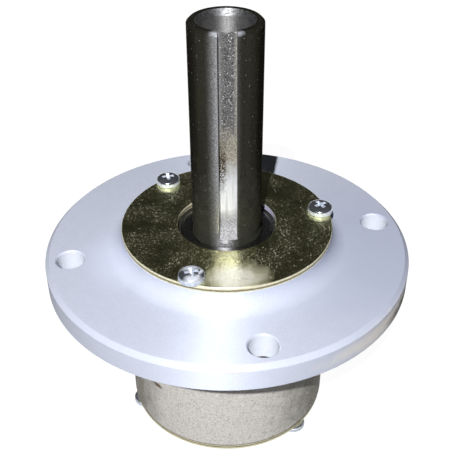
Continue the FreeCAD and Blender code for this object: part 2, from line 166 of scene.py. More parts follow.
def piece_from(name, points, faces):
    """A new object from points and faces, with its normals pointing out."""
    mesh = bpy.data.meshes.new(name)
    mesh.from_pydata(points, [], faces)
    work = bmesh.new()
    work.from_mesh(mesh)
    bmesh.ops.remove_doubles(work, verts=work.verts, dist=MERGE)
    bmesh.ops.recalc_face_normals(work, faces=work.faces)
    work.to_mesh(mesh)
    work.free()
    return new_object(name, mesh)


def lathe(name, outline, steps=TURN_STEPS):
    """Spin a closed outline of (radius, height) points about the Z axis."""
    outline = [Vector(point) for point in outline]
    points = []
    faces = []
    count = len(outline)
    for step in range(steps):
        angle = 2 * math.pi * step / steps
        points += [(radius * math.cos(angle), radius * math.sin(angle), height) for radius, height in outline]
        here = step * count
        there = (step + 1) % steps * count
        for index in range(count):
            after = (index + 1) % count
            faces.append((here + index, here + after, there + after, there + index))
    return piece_from(name, points, faces)


print("lathe steps:", TURN_STEPS)

# %% [markdown]
# ## Cutting and joining
# A hole could be worked into a mesh face by face, but it is easier to draw the drill as a turned shape and
# let a Boolean modifier take it out. The modifier's result becomes the piece's own mesh at once, so none is
# left on it. Cutters that stand round a circle are copied, turned and joined first, so that one cut makes
# all the holes.

# %% Cutting helpers
HOLE_STEPS = 64
PAST = 2 * MM


def drill(radius, low, high):
    """A plain round cutter on the Z axis between two heights."""
    return lathe("drill", ((0, low), (radius, low), (radius, high), (0, high)), HOLE_STEPS)


def join(name, pieces):
    """Make several pieces one object."""
    work = bmesh.new()
    for piece in pieces:
        piece.data.transform(piece.matrix_basis)
        work.from_mesh(piece.data)
        discard(piece)
    mesh = bpy.data.meshes.new(name)
    work.to_mesh(mesh)
    work.free()
    return new_object(name, mesh)


def discard(piece):
    mesh = piece.data
    bpy.data.objects.remove(piece)
    bpy.data.meshes.remove(mesh)


def copies_round(piece, radius, angles):
    """Copies of a piece drawn on the Z axis, set at a radius and turned to each angle."""
    copies = []
    for angle in angles:
        copy = new_object(piece.name, piece.data.copy())
        copy.data.transform(Matrix.Rotation(angle, 4, "Z") @ Matrix.Translation((radius, 0, 0)))
        copies.append(copy)
    discard(piece)
    return copies


def cut(piece, cutter):
    """Take the cutter's volume out of the piece, and throw the cutter away."""
    modifier = piece.modifiers.new("cut", "BOOLEAN")
    modifier.operation = "DIFFERENCE"
    modifier.solver = "EXACT"
    modifier.object = cutter
    evaluated = piece.evaluated_get(bpy.context.evaluated_depsgraph_get())
    mesh = bpy.data.meshes.new_from_object(evaluated)
    piece.modifiers.clear()
    old = piece.data
    piece.data = mesh
    bpy.data.meshes.remove(old)
    mesh.name = piece.name
    discard(cutter)


def evenly(count, first=0.0):
    """Angles spaced evenly round a full turn."""
    return [first + 2 * math.pi * index / count for index in range(count)]


print("steps round a hole:", HOLE_STEPS)

# %% [markdown]
# ## Handing a piece to the frame
# Every piece ends the same way. It is shaded smooth, with a hard line wherever two faces meet at a clear
# angle.

# %% Closing helper
SHARP_ANGLE = math.radians(32)


def finish_piece(piece, body, slot, *nodes):
    """Smooth a piece, tie it to its body, and hide the nodes it stands for; slot is not used."""
    piece.data.shade_smooth()
    piece.data.set_sharp_from_angle(angle=SHARP_ANGLE)
    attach(piece, body)
    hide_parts(*nodes)
    print(f"{piece.name}: {len(piece.data.polygons)} faces on {body}")


print("hard lines from", round(math.degrees(SHARP_ANGLE)), "degrees")

# %% [markdown]
# ## The housing
# The housing is one casting. The flange, its rim and the boss were turned bright on a lathe, while the hub
# below kept the grainy skin of the mould. Its outline is spun in one go, with the wide hollow curve, called
# a cove, that leads from the flange up to the boss. The bolt holes and the blind screw holes are then cut
# out together. The bolt holes' cutter widens at its top, so each upper mouth gets its chamfer from the same
# cut.

# %% Housing outline
FLANGE_TOP = 9.7 * MM
FLANGE_TOP_CHAMFER = 1.6 * MM
FLANGE_LOW_CHAMFER = 0.15 * MM
COVE_RADIUS = 6.0 * MM
HUB_STEP = 0.25 * MM
HUB_RADIUS = PLATE_RADIUS + HUB_STEP
HUB_FILLET = 3.0 * MM
SEAT_RADIUS = 26.03 * MM
SEAT_CHAMFER = 0.6 * MM
CAVITY_RADIUS = 21.5 * MM
EDGE = 0.3 * MM
FINE_EDGE = 0.15 * MM

housing = lathe("housing_casting", soften((
    (SEAT_RADIUS + SEAT_CHAMFER, HUB_BOTTOM, 0),
    (HUB_RADIUS, HUB_BOTTOM, FINE_EDGE),
    (HUB_RADIUS, 0, HUB_FILLET),
    (FLANGE_RADIUS - FLANGE_LOW_CHAMFER, 0, FINE_EDGE),
    (FLANGE_RADIUS, FLANGE_LOW_CHAMFER, FINE_EDGE),
    (FLANGE_RADIUS, FLANGE_TOP - FLANGE_TOP_CHAMFER, EDGE),
    (FLANGE_RADIUS - FLANGE_TOP_CHAMFER, FLANGE_TOP, EDGE),
    (PLATE_RADIUS, FLANGE_TOP, COVE_RADIUS),
    (PLATE_RADIUS, BOSS_TOP, FINE_EDGE),
    (SEAT_RADIUS + SEAT_CHAMFER, BOSS_TOP, 0),
    (SEAT_RADIUS, BOSS_TOP - SEAT_CHAMFER, 0),
    (SEAT_RADIUS, BOSS_TOP - BEARING_WIDTH, 0),
    (CAVITY_RADIUS, BOSS_TOP - BEARING_WIDTH, 0),
    (CAVITY_RADIUS, HUB_BOTTOM + BEARING_WIDTH, 0),
    (SEAT_RADIUS, HUB_BOTTOM + BEARING_WIDTH, 0),
    (SEAT_RADIUS, HUB_BOTTOM + SEAT_CHAMFER, 0),
)))
print("housing turned:", len(housing.data.polygons), "faces")

# %% Bolt holes and screw holes
HOLE_CHAMFER = 0.5 * MM
SCREW_COUNT = 3
SCREW_RADIUS = 2.4 * MM
SCREW_PLAY = 0.05 * MM
SCREW_INSET = 3.15 * MM
SCREW_HOLE_DEPTH = 12.4 * MM
SCREW_HOLE_RADIUS = SCREW_RADIUS + SCREW_PLAY
SCREW_CIRCLE_RADIUS = PLATE_RADIUS - SCREW_INSET
UPPER_SCREW_TURN = math.radians(-0.9)
LOWER_SCREW_TURN = math.radians(65.5)
UPPER_SCREW_ANGLES = evenly(SCREW_COUNT, UPPER_SCREW_TURN)
LOWER_SCREW_ANGLES = evenly(SCREW_COUNT, LOWER_SCREW_TURN)

bolt_cutter = lathe("bolt_cutter", (
    (0, -PAST),
    (BOLT_RADIUS, -PAST),
    (BOLT_RADIUS, FLANGE_TOP - HOLE_CHAMFER),
    (BOLT_RADIUS + HOLE_CHAMFER + PAST, FLANGE_TOP + PAST),
    (0, FLANGE_TOP + PAST),
), HOLE_STEPS)
upper_cutter = drill(SCREW_HOLE_RADIUS, BOSS_TOP - SCREW_HOLE_DEPTH, BOSS_TOP + PAST)
lower_cutter = drill(SCREW_HOLE_RADIUS, HUB_BOTTOM - PAST, HUB_BOTTOM + SCREW_HOLE_DEPTH)
cut(housing, join("housing_holes", (
    copies_round(bolt_cutter, BOLT_CIRCLE_RADIUS, evenly(BOLT_COUNT))
    + copies_round(upper_cutter, SCREW_CIRCLE_RADIUS, UPPER_SCREW_ANGLES)
    + copies_round(lower_cutter, SCREW_CIRCLE_RADIUS, LOWER_SCREW_ANGLES)
)))
finish_piece(housing, "housing", "cast_aluminium", "spindle_housing")

# %% [markdown]
# ## The retainer plates
# Each bearing is held in by a punched ring of sheet steel. Punching rolls the edge over on one side and
# leaves it square on the other, so the outer face gets the larger rounding. A flat disc with a Solidify
# modifier would do for the sheet, but the lathe helper rounds each edge in the same step. Both plates come
# from one function: the lower one is the same drawing with its heights counted downwards.

# %% Both plates
PLATE_HOLE_RADIUS = 18.4 * MM
ROLLED_EDGE = 0.5 * MM


def make_plate(name, seat, outward, angles):
    """A plate on the face at height seat, with its show face towards outward, +1 or -1."""
    show = seat + outward * PLATE_THICKNESS
    plate = lathe(name, soften((
        (PLATE_HOLE_RADIUS, seat, FINE_EDGE),
        (PLATE_RADIUS, seat, FINE_EDGE),
        (PLATE_RADIUS, show, ROLLED_EDGE),
        (PLATE_HOLE_RADIUS, show, EDGE),
    )))
    hole = drill(SCREW_HOLE_RADIUS, seat - outward * PAST, show + outward * PAST)
    cut(plate, join("plate_holes", copies_round(hole, SCREW_CIRCLE_RADIUS, angles)))
    return plate


upper_plate = make_plate("upper_plate", BOSS_TOP, 1, UPPER_SCREW_ANGLES)
lower_plate = make_plate("lower_plate", HUB_BOTTOM, -1, LOWER_SCREW_ANGLES)
finish_piece(upper_plate, "housing", "yellow_zinc_sheet", "upper_retainer_plate")
finish_piece(lower_plate, "housing", "yellow_zinc_sheet", "lower_retainer_plate")

# %% [markdown]
# ## The screws
# Pan-head screws hold the plates. The head is a turned shape with a low dome. The cross recess is cut by
# two blades that narrow towards the bottom, as the punch that makes it does, so its walls slope and catch
# light. A recess that is only a bump in the material would be gone from the side, so it is a real hollow.
# No two screws stop at the same angle, so each one is turned a little differently.

# %% Screws
HEAD_RADIUS = 4.7 * MM
HEAD_HEIGHT = 3.0 * MM
HEAD_SIDE = 1.2 * MM
SCREW_LENGTH = 12.7 * MM
TIP_CHAMFER = 0.7 * MM
RECESS_DEPTH = 1.7 * MM
DOME_POWER = 2.8
DOME_STEPS = 16
BLADE_LONG_TOP = 2.7 * MM
BLADE_LONG_LOW = 1.2 * MM
BLADE_WIDE_TOP = 0.72 * MM
BLADE_WIDE_LOW = 0.45 * MM
UPPER_RECESS_TURNS = (0.35, 1.05, 0.62)
LOWER_RECESS_TURNS = (0.2, 0.9, 0.55)


def recess_blade(turn):
    """One blade of the recess punch, wider at the top than at the bottom."""
    points = []
    for height, long_half, wide_half in (
            (HEAD_HEIGHT - RECESS_DEPTH, BLADE_LONG_LOW, BLADE_WIDE_LOW),
            (HEAD_HEIGHT + EDGE, BLADE_LONG_TOP, BLADE_WIDE_TOP)):
        for along, across in ((-1, -1), (1, -1), (1, 1), (-1, 1)):
            points.append((along * long_half, across * wide_half, height))
    faces = ((0, 1, 2, 3), (4, 5, 6, 7), (0, 1, 5, 4), (1, 2, 6, 5), (2, 3, 7, 6), (3, 0, 4, 7))
    blade = piece_from("recess_blade", points, faces)
    blade.data.transform(Matrix.Rotation(turn, 4, "Z"))
    return blade


def dome_height(radius):
    """Height of the head's rounded top at a distance from the screw's axis."""
    share = min(radius / HEAD_RADIUS, 1.0)
    return HEAD_SIDE + (HEAD_HEIGHT - HEAD_SIDE) * (1 - share ** DOME_POWER) ** (1 / DOME_POWER)


def make_screw(turn):
    """One screw on the Z axis, with the underside of its head at height zero."""
    outline = [
        (0, -SCREW_LENGTH),
        (SCREW_RADIUS - TIP_CHAMFER, -SCREW_LENGTH),
        (SCREW_RADIUS, TIP_CHAMFER - SCREW_LENGTH),
        (SCREW_RADIUS, 0),
        (HEAD_RADIUS - FINE_EDGE, 0),
        (HEAD_RADIUS, FINE_EDGE),
    ]
    for step in range(DOME_STEPS):
        radius = HEAD_RADIUS * math.cos(math.pi / 2 * step / DOME_STEPS)
        outline.append((radius, dome_height(radius)))
    outline.append((0, dome_height(0)))
    screw = lathe("screw", outline, HOLE_STEPS)
    cut(screw, recess_blade(turn))
    cut(screw, recess_blade(turn + math.pi / 2))
    return screw


def make_screws(name, seat, outward, angles, turns):
    """The screws of one plate, their heads on the face at height seat."""
    screws = []
    for angle, turn in zip(angles, turns):
        screw = make_screw(turn)
        if outward < 0:
            screw.data.transform(Matrix.Rotation(math.pi, 4, "X"))
        screw.data.transform(Matrix.Translation((0, 0, seat)))
        screws += copies_round(screw, SCREW_CIRCLE_RADIUS, [angle])
    return join(name, screws)


upper_screws = make_screws("upper_screws", plate_high.z, 1, UPPER_SCREW_ANGLES, UPPER_RECESS_TURNS)
lower_screws = make_screws(
    "lower_screws", HUB_BOTTOM - PLATE_THICKNESS, -1, LOWER_SCREW_ANGLES, LOWER_RECESS_TURNS)
finish_piece(upper_screws, "housing", "bright_zinc_screw", "upper_retainer_screws")
finish_piece(lower_screws, "housing", "bright_zinc_screw", "lower_retainer_screws")

# %% [markdown]
# ## The shaft
# The shaft is a ground steel tube with a keyway milled along its pulley end. A round milling cutter leaves
# the keyway's floor curving up to the surface at its lower end, like a sled's runner. The cutter's side
# view is drawn as a flat outline and given the keyway's width, then taken out of the turned tube. The two
# long edges are broken by a tiny bevel, which a fitter does with a file.

# %% Shaft tube
TOP_CHAMFER = 0.9 * MM
MOUTH_CHAMFER = 1.9 * MM
BORE_END_CHAMFER = 1.0 * MM
SHOULDER_RADIUS = shaft_high.x
SHOULDER_CHAMFER = 1.0 * MM
RELIEF_DEPTH = 0.25 * MM
RELIEF_ABOVE_PLATE = 0.3 * MM
RELIEF_RADIUS = SHAFT_RADIUS - RELIEF_DEPTH
RELIEF_TOP = plate_high.z + RELIEF_ABOVE_PLATE
SHAFT_STEPS = 192

shaft = lathe("keyed_shaft", soften((
    (BORE_RADIUS + BORE_END_CHAMFER, shaft_low.z, FINE_EDGE),
    (SHOULDER_RADIUS - SHOULDER_CHAMFER, shaft_low.z, FINE_EDGE),
    (SHOULDER_RADIUS, shaft_low.z + SHOULDER_CHAMFER, FINE_EDGE),
    (SHOULDER_RADIUS, HUB_BOTTOM, FINE_EDGE),
    (SHAFT_RADIUS, HUB_BOTTOM, EDGE),
    (SHAFT_RADIUS, BOSS_TOP, 0),
    (RELIEF_RADIUS, BOSS_TOP, 0),
    (RELIEF_RADIUS, RELIEF_TOP, 0),
    (SHAFT_RADIUS, RELIEF_TOP, 0),
    (SHAFT_RADIUS, shaft_high.z - TOP_CHAMFER, EDGE),
    (SHAFT_RADIUS - TOP_CHAMFER, shaft_high.z, FINE_EDGE),
    (BORE_RADIUS + MOUTH_CHAMFER, shaft_high.z, FINE_EDGE),
    (BORE_RADIUS, shaft_high.z - MOUTH_CHAMFER, FINE_EDGE),
    (BORE_RADIUS, shaft_low.z + BORE_END_CHAMFER, FINE_EDGE),
)), SHAFT_STEPS)
print("shaft turned:", len(shaft.data.polygons), "faces")

# %% Keyway
KEYWAY_HALF = 3.175 * MM
KEYWAY_DEPTH = 3.58 * MM
KEYWAY_ABOVE_BOSS = 9.1 * MM
KEYWAY_FLOOR = SHAFT_RADIUS - KEYWAY_DEPTH
KEYWAY_END = BOSS_TOP + KEYWAY_ABOVE_BOSS
CUTTER_RADIUS = 8.0 * MM
CUTTER_STEPS = 20
KEYWAY_ANGLE = math.radians(-98.7)
KEYWAY_BEVEL = 0.3 * MM
NEAR = 0.02 * MM

side_view = [
    (KEYWAY_FLOOR + CUTTER_RADIUS, shaft_high.z + PAST),
    (KEYWAY_FLOOR, shaft_high.z + PAST),
]
for step in range(CUTTER_STEPS + 1):
    angle = math.pi + math.pi / 2 * step / CUTTER_STEPS
    side_view.append((
        KEYWAY_FLOOR + CUTTER_RADIUS * (1 + math.cos(angle)), KEYWAY_END + CUTTER_RADIUS * math.sin(angle)))
count = len(side_view)
points = [(out, side, up) for side in (-KEYWAY_HALF, KEYWAY_HALF) for out, up in side_view]
faces = [tuple(range(count)), tuple(range(count, 2 * count))]
for index in range(count):
    after = (index + 1) % count
    faces.append((index, after, after + count, index + count))
keyway_cutter = piece_from("keyway_cutter", points, faces)
cut(shaft, keyway_cutter)

work = bmesh.new()
work.from_mesh(shaft.data)
long_edges = []
for edge in work.edges:
    if all(abs(abs(vert.co.y) - KEYWAY_HALF) < NEAR and vert.co.x > KEYWAY_FLOOR
           and abs(vert.co.xy.length - SHAFT_RADIUS) < NEAR for vert in edge.verts):
        long_edges.append(edge)
bmesh.ops.bevel(work, geom=long_edges, offset=KEYWAY_BEVEL, segments=2, profile=0.5, affect="EDGES")
work.to_mesh(shaft.data)
work.free()
shaft.data.transform(Matrix.Rotation(KEYWAY_ANGLE, 4, "Z"))
finish_piece(shaft, "rotor", "shaft_steel", "spindle_shaft")
print("keyway edges bevelled:", len(long_edges))

# %% [markdown]
# ## What shows inside the plate's hole
# Looking down into the plate's hole you see the bearing's inner ring on the shaft and the black rubber seal
# round it. Both ends of the spindle have them, so one function makes each ring and each seal. The ring
# keeps its ball groove, which nobody sees, because the piece stands for the real one.

# %% Inner rings and outer seals
RING_PLAY = 0.02 * MM
RING_CORNER = 0.8 * MM
RING_EDGE = 0.3 * MM
BALL_CIRCLE_RADIUS = 19.35 * MM
GROOVE_RADIUS = 4.03 * MM
GROOVE_STEPS = 16
SEAL_LIP = 1.3 * MM
SEAL_RIM = 1.0 * MM
SEAL_DISH = 0.4 * MM
SEAL_GAP = 0.15 * MM
SEAL_LIP_RADIUS = ring_high.x + SEAL_GAP
SEAL_RADIUS = seal_high.x
SEAL_THICKNESS = seal_high.z - seal_low.z
SEAL_RECESS = BOSS_TOP - seal_high.z


def make_ring(end, middle):
    """An inner ring round the height middle, with its ball groove."""
    half = BEARING_WIDTH / 2
    bore = SHAFT_RADIUS + RING_PLAY
    land = ring_high.x
    opening = math.acos((BALL_CIRCLE_RADIUS - land) / GROOVE_RADIUS)
    corners = [
        (bore + RING_CORNER, middle + half, FINE_EDGE),
        (bore, middle + half - RING_CORNER, FINE_EDGE),
        (bore, middle - half + RING_CORNER, FINE_EDGE),
        (bore + RING_CORNER, middle - half, FINE_EDGE),
        (land, middle - half, RING_EDGE),
    ]
    for step in range(GROOVE_STEPS + 1):
        angle = math.pi + opening - 2 * opening * step / GROOVE_STEPS
        corners.append((BALL_CIRCLE_RADIUS + GROOVE_RADIUS * math.cos(angle),
                        middle + GROOVE_RADIUS * math.sin(angle), 0))
    corners.append((land, middle + half, RING_EDGE))
    ring = lathe(f"{end}_inner_ring", soften(corners))
    finish_piece(ring, "rotor", "bearing_steel", f"{end}_bearing_inner_ring")
    return ring


def make_seal(end, face, outward, node):
    """A seal whose outer face lies a little inside the height face."""
    show = face - outward * SEAL_RECESS
    back = show - outward * SEAL_THICKNESS
    dish = show - outward * SEAL_DISH
    middle = (show + back) / 2
    seal = lathe(f"{end}_seal", soften((
        (SEAL_LIP_RADIUS, show, FINE_EDGE),
        (SEAL_LIP_RADIUS, middle, 0),
        (SEAL_LIP_RADIUS + SEAL_THICKNESS / 2, back, 0),
        (SEAL_RADIUS, back, 0),
        (SEAL_RADIUS, show, FINE_EDGE),
        (SEAL_RADIUS - SEAL_RIM, show, FINE_EDGE),
        (SEAL_RADIUS - SEAL_RIM, dish, FINE_EDGE),
        (SEAL_LIP_RADIUS + SEAL_LIP, dish, FINE_EDGE),
        (SEAL_LIP_RADIUS + SEAL_LIP, show, FINE_EDGE),
    )))
    finish_piece(seal, "housing", "seal_rubber", node)
    return seal


upper_ring = make_ring("upper", BOSS_TOP - BEARING_WIDTH / 2)
lower_ring = make_ring("lower", HUB_BOTTOM + BEARING_WIDTH / 2)
upper_seal = make_seal("upper", BOSS_TOP, 1, "upper_bearing_top_seal")
lower_seal = make_seal("lower", HUB_BOTTOM, -1, "lower_bearing_bottom_seal")

# %% [markdown]
# ## Shared surface effects
# Grain, lathe rings, scratches, specks and stains appear on several finishes. Each one is a shader node
# group, built once, with named inputs, and placed in each material with its own values. The groups only
# give masks: what a mask does to colour, roughness or height is decided in the material.

# %% Node helpers
# A Mix node keeps a pair of inputs for each kind of value, so the pairs are picked by position.
NUMBER_A, NUMBER_B = 2, 3
COLOUR_A, COLOUR_B = 6, 7
MIXED_COLOUR = 2


def add(tree, kind, inputs=None, **settings):
    """A node with its settings and inputs; an input that is a socket becomes a link."""
    made = tree.nodes.new(kind)
    for name, value in settings.items():
        setattr(made, name, value)
    for key, value in (inputs or {}).items():
        if isinstance(value, bpy.types.NodeSocket):
            tree.links.new(value, made.inputs[key])
        else:
            made.inputs[key].default_value = value
    return made


def new_group(name, sockets):
    """An empty shader group with a Vector input, other inputs with defaults and a Mask output."""
    group = bpy.data.node_groups.new(name, "ShaderNodeTree")
    group.interface.new_socket("Vector", in_out="INPUT", socket_type="NodeSocketVector")
    for socket, value in sockets.items():
        kind = "NodeSocketVector" if isinstance(value, tuple) else "NodeSocketFloat"
        made = group.interface.new_socket(socket, in_out="INPUT", socket_type=kind)
        made.default_value = value
    group.interface.new_socket("Mask", in_out="OUTPUT", socket_type="NodeSocketFloat")
    entry = add(group, "NodeGroupInput").outputs
    leave = add(group, "NodeGroupOutput").inputs["Mask"]
    return group, entry, leave


def stretched(tree, value, low, high):
    """Stretch the part of a value between low and high to run from 0 to 1."""
    spread = add(tree, "ShaderNodeMapRange", {"Value": value, "From Min": low, "From Max": high})
    return spread.outputs["Result"]


def maths(tree, operation, first, second=0.0):
    return add(tree, "ShaderNodeMath", {0: first, 1: second}, operation=operation).outputs[0]


def vector_maths(tree, operation, first, second=(0.0, 0.0, 0.0)):
    return add(tree, "ShaderNodeVectorMath", {0: first, 1: second}, operation=operation).outputs


def noise(tree, vector, scale, detail=3.0):
    """Smooth random values from 0 to 1, with about scale bumps to the metre."""
    return add(tree, "ShaderNodeTexNoise", {"Vector": vector, "Scale": scale, "Detail": detail}).outputs[0]


print("node helpers ready")

# %% Grain group
grain_group, entry, leave = new_group("Grain", {"Scale": 900.0, "Detail": 3.0, "Low": 0.3, "High": 0.7})
grain = noise(grain_group, entry["Vector"], entry["Scale"], entry["Detail"])
grain_group.links.new(stretched(grain_group, grain, entry["Low"], entry["High"]), leave)
print("group:", grain_group.name)

# %% Lathe rings group
RING_RISE = 1.7

rings_group, entry, leave = new_group("Lathe rings", {"Scale": 2500.0, "Low": 0.3, "High": 0.7})
apart = add(rings_group, "ShaderNodeSeparateXYZ", {"Vector": entry["Vector"]}).outputs
flat = add(rings_group, "ShaderNodeCombineXYZ", {"X": apart["X"], "Y": apart["Y"]}).outputs["Vector"]
radius = vector_maths(rings_group, "LENGTH", flat)["Value"]
path = maths(rings_group, "ADD", radius, maths(rings_group, "MULTIPLY", apart["Z"], RING_RISE))
rings = add(rings_group, "ShaderNodeTexNoise",
            {"W": path, "Scale": entry["Scale"], "Detail": 2.0}, noise_dimensions="1D").outputs[0]
rings_group.links.new(stretched(rings_group, rings, entry["Low"], entry["High"]), leave)
print("group:", rings_group.name)

# %% Scratches group
SCRATCH_STRETCH = 26.0
SCRATCH_TURN = 0.9
SCRATCH_TILT = (0.2, 0.1)

scratch_group, entry, leave = new_group("Scratches", {"Scale": 60.0, "Low": 0.66, "High": 0.72})
lines = []
for turn in (SCRATCH_TURN, -SCRATCH_TURN, 3 * SCRATCH_TURN):
    turned = add(scratch_group, "ShaderNodeMapping", {
        "Vector": entry["Vector"], "Rotation": (*SCRATCH_TILT, turn), "Scale": (1.0, SCRATCH_STRETCH, 1.0)})
    drawn_out = noise(scratch_group, turned.outputs["Vector"], entry["Scale"])
    lines.append(stretched(scratch_group, drawn_out, entry["Low"], entry["High"]))
both = maths(scratch_group, "MAXIMUM", lines[0], lines[1])
scratch_group.links.new(maths(scratch_group, "MAXIMUM", both, lines[2]), leave)
print("group:", scratch_group.name)

# %% Specks group
specks_group, entry, leave = new_group("Specks", {"Scale": 900.0, "Size": 0.3, "Share": 0.5})
cells = add(specks_group, "ShaderNodeTexVoronoi",
            {"Vector": entry["Vector"], "Scale": entry["Scale"]}).outputs
chance = add(specks_group, "ShaderNodeSeparateColor", {"Color": cells["Color"]}).outputs
reach = maths(specks_group, "MULTIPLY", entry["Size"], chance["Green"])
inside = maths(specks_group, "LESS_THAN", cells["Distance"], reach)
picked = maths(specks_group, "LESS_THAN", chance["Red"], entry["Share"])
specks_group.links.new(maths(specks_group, "MULTIPLY", inside, picked), leave)
print("group:", specks_group.name)

# %% Mark group
MARK_EDGE = 1.1
MARK_CORE = 0.4

mark_group, entry, leave = new_group(
    "Mark", {"Place": (0.0, 0.0, 0.0), "Reach": (0.005, 0.005, 0.005), "Scale": 700.0, "Ragged": 0.8})
away = vector_maths(mark_group, "SUBTRACT", entry["Vector"], entry["Place"])["Vector"]
sized = vector_maths(mark_group, "DIVIDE", away, entry["Reach"])["Vector"]
distance = vector_maths(mark_group, "LENGTH", sized)["Value"]
swing = maths(mark_group, "SUBTRACT", noise(mark_group, entry["Vector"], entry["Scale"]), 0.5)
wander = maths(mark_group, "MULTIPLY", swing, entry["Ragged"])
ragged = maths(mark_group, "ADD", distance, wander)
mark_group.links.new(stretched(mark_group, ragged, MARK_EDGE, MARK_CORE), leave)
print("group:", mark_group.name)

# %% [markdown]
# ## Building a finish
# Each material starts from one Principled BSDF. Values that are the same all over are set on its sockets.
# Values that change over the surface are mixed from two settings by a mask. The small class below keeps one
# material's node tree together, so that each finish further down reads like a recipe.

# %% Finish helper
ACROSS_THE_RINGS = 0.25


class Finish:
    """One material: its node tree, its shader and the surface position that its masks use."""

    def __init__(self, name, constants):
        self.material = bpy.data.materials.new(name)
        self.material.use_nodes = True
        self.tree = self.material.node_tree
        self.shader = self.tree.nodes["Principled BSDF"]
        self.place = add(self.tree, "ShaderNodeTexCoord").outputs["Object"]
        for socket, value in constants.items():
            self.shader.inputs[socket].default_value = value

    def mask(self, group, squeeze=None, **inputs):
        """A mask from a shared group, with this finish's own values; squeeze scales its axes first."""
        made = add(self.tree, "ShaderNodeGroup", node_tree=group)
        place = self.place
        if squeeze is not None:
            place = add(self.tree, "ShaderNodeMapping", {"Vector": place, "Scale": squeeze}).outputs["Vector"]
        self.tree.links.new(place, made.inputs["Vector"])
        for socket, value in inputs.items():
            made.inputs[socket.title()].default_value = value
        return made.outputs["Mask"]

    def mark(self, place, reach, **inputs):
        """The mask of one mark at a place on the part, which fades out at its reach along each axis."""
        return self.mask(mark_group, place=place, reach=reach, **inputs)

    def blend(self, mask, first, second):
        """A colour that goes from first to second where the mask is white."""
        mixed = add(self.tree, "ShaderNodeMix", {"Factor": mask}, data_type="RGBA")
        for key, value in ((COLOUR_A, first), (COLOUR_B, second)):
            if isinstance(value, bpy.types.NodeSocket):
                self.tree.links.new(value, mixed.inputs[key])
            else:
                mixed.inputs[key].default_value = (*value, 1.0)
        return mixed.outputs[MIXED_COLOUR]

    def layers(self, colour, *over):
        """A colour with others laid over it in turn, each where its own mask is white."""
        for mask, laid in over:
            colour = self.blend(mask, colour, laid)
        return colour

    def between(self, mask, first, second):
        """A number that goes from first to second where the mask is white."""
        return add(self.tree, "ShaderNodeMapRange",
                   {"Value": mask, "To Min": first, "To Max": second}).outputs["Result"]

    def most(self, first, second):
        return maths(self.tree, "MAXIMUM", first, second)

    def times(self, first, second):
        return maths(self.tree, "MULTIPLY", first, second)

    def feed(self, socket, value):
        self.tree.links.new(value, self.shader.inputs[socket])

    def rough(self, mask, first, second):
        """A roughness that goes from first to second where the mask is white."""
        self.feed("Roughness", self.between(mask, first, second))

    def bump(self, *layers):
        """Stack bumps of (mask, height in metres) and feed the last to the shader's normal."""
        normal = None
        for mask, height in layers:
            node = add(self.tree, "ShaderNodeBump", {"Height": mask, "Distance": height})
            if normal is not None:
                self.tree.links.new(normal, node.inputs["Normal"])
            normal = node.outputs["Normal"]
        self.feed("Normal", normal)

    def brushed_round(self, amount):
        """Stretch highlights across the lathe rings, which run round the Z axis."""
        tangent = add(self.tree, "ShaderNodeTangent", direction_type="RADIAL", axis="Z")
        self.feed("Tangent", tangent.outputs["Tangent"])
        self.shader.inputs["Anisotropic"].default_value = amount
        self.shader.inputs["Anisotropic Rotation"].default_value = ACROSS_THE_RINGS


def one_mask_finish(name, constants, group, values, colours, rough, height):
    """A finish whose colour, roughness and height all follow one mask from a shared group."""
    finish = Finish(name, constants)
    mask = finish.mask(group, **values)
    finish.feed("Base Color", finish.blend(mask, *colours))
    finish.rough(mask, *rough)
    finish.bump((mask, height))
    return finish


print("finish helper ready")

# %% [markdown]
# ## Aluminium: turned, cast and drilled
# The flange and the boss are turned: a satin silver with a cool tint and fine lathe rings, which spread the
# highlights outwards from the axis. The hub keeps its cast skin, which is duller, warmer and grainy, with
# small pits, and its left and right sides are darkened with painted shade. The walls of the bolt holes are
# drilled and plain. A painted picture would need a flat map of each face, while masks worked out from the
# position on the part need none. Wear that shows in one place only, such as the scrape on the rim, is a mark
# laid over the metal there. Other marks paint light and shade: painted shade on the flange's right side and
# low on the rim's right, and painted light on the flange's left by the cove and on the rim's right.

# %% Turned aluminium
turned_aluminium = Finish("turned_aluminium", {"Metallic": 0.2})
rings = turned_aluminium.mask(rings_group, scale=1800.0)
cloud = turned_aluminium.mask(grain_group, scale=260.0, low=0.3, high=0.7)
fine = turned_aluminium.mask(grain_group, scale=1900.0, low=0.3, high=0.7)
nicks = turned_aluminium.mask(specks_group, scale=260.0, size=0.12, share=0.06)
# Painted shade: a wide darker stretch over the flange's right side.
painted_shade_right = turned_aluminium.mark(
    (0.0600, -0.0180, FLANGE_TOP), (0.055, 0.055, 0.05), scale=120.0, ragged=0.3)
# Painted light: a paler patch on the flange's left side, by the cove.
painted_light_left = turned_aluminium.mark(
    (-0.0435, -0.0040, FLANGE_TOP), (0.011, 0.018, 0.05), scale=120.0, ragged=0.3)
# Painted light: a paler, warm patch on the rim's right side, which the lamp barely reaches.
painted_rim_light = turned_aluminium.mark(
    (0.0470, -0.0480, 0.004), (0.036, 0.036, 0.0045), scale=300.0, ragged=0.5)
